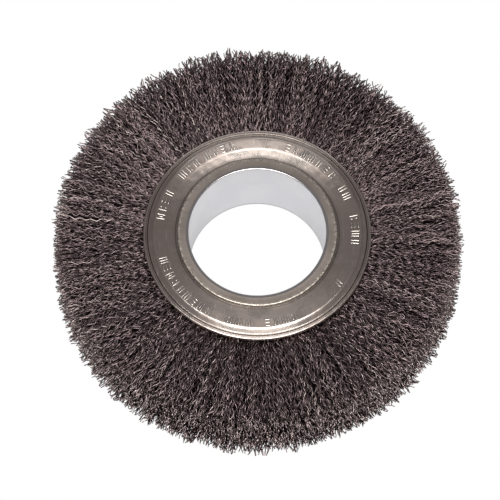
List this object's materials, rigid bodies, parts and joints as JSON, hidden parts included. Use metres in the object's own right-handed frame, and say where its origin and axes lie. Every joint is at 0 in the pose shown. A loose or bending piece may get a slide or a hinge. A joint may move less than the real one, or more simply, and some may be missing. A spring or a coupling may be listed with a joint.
{
  "type": "wire wheel brush",
  "caption": "Wide-face crimped wire wheel brush for a bench grinder, with a plain arbor bore, curled sleeve and two pressed side plates.",
  "frame": {"origin": "centre of the bore, half way through the wheel's width", "axes": "+Z along the bore axis, which is the spin axis, out of the marked side; X and Y lie in the wheel's plane"},
  "size_m": [0.1524, 0.1524, 0.032],
  "materials": {
    "zinc_sleeve": "zinc plated, satin",
    "pressed_steel": "pressed sheet steel, dull",
    "hoop_steel": "drawn wire",
    "crimped_wire": "dark tempered wire"
  },
  "bodies": {
    "root": {"bore_sleeve": "zinc_sleeve", "front_side_plate": "pressed_steel", "rear_side_plate": "pressed_steel", "front_hoop": "hoop_steel", "front_wire_bundle_01": "crimped_wire", "front_wire_bundle_02": "crimped_wire", "front_wire_bundle_03": "crimped_wire", "front_wire_bundle_04": "crimped_wire", "front_wire_bundle_05": "crimped_wire", "front_wire_bundle_06": "crimped_wire", "front_wire_bundle_07": "crimped_wire", "front_wire_bundle_08": "crimped_wire", "front_wire_bundle_09": "crimped_wire", "front_wire_bundle_10": "crimped_wire", "front_wire_bundle_11": "crimped_wire", "front_wire_bundle_12": "crimped_wire", "middle_hoop": "hoop_steel", "middle_wire_bundle_01": "crimped_wire", "middle_wire_bundle_02": "crimped_wire", "middle_wire_bundle_03": "crimped_wire", "middle_wire_bundle_04": "crimped_wire", "middle_wire_bundle_05": "crimped_wire", "middle_wire_bundle_06": "crimped_wire", "middle_wire_bundle_07": "crimped_wire", "middle_wire_bundle_08": "crimped_wire", "middle_wire_bundle_09": "crimped_wire", "middle_wire_bundle_10": "crimped_wire", "middle_wire_bundle_11": "crimped_wire", "middle_wire_bundle_12": "crimped_wire", "rear_hoop": "hoop_steel", "rear_wire_bundle_01": "crimped_wire", "rear_wire_bundle_02": "crimped_wire", "rear_wire_bundle_03": "crimped_wire", "rear_wire_bundle_04": "crimped_wire", "rear_wire_bundle_05": "crimped_wire", "rear_wire_bundle_06": "crimped_wire", "rear_wire_bundle_07": "crimped_wire", "rear_wire_bundle_08": "crimped_wire", "rear_wire_bundle_09": "crimped_wire", "rear_wire_bundle_10": "crimped_wire", "rear_wire_bundle_11": "crimped_wire", "rear_wire_bundle_12": "crimped_wire"}
  },
  "joints": []
}
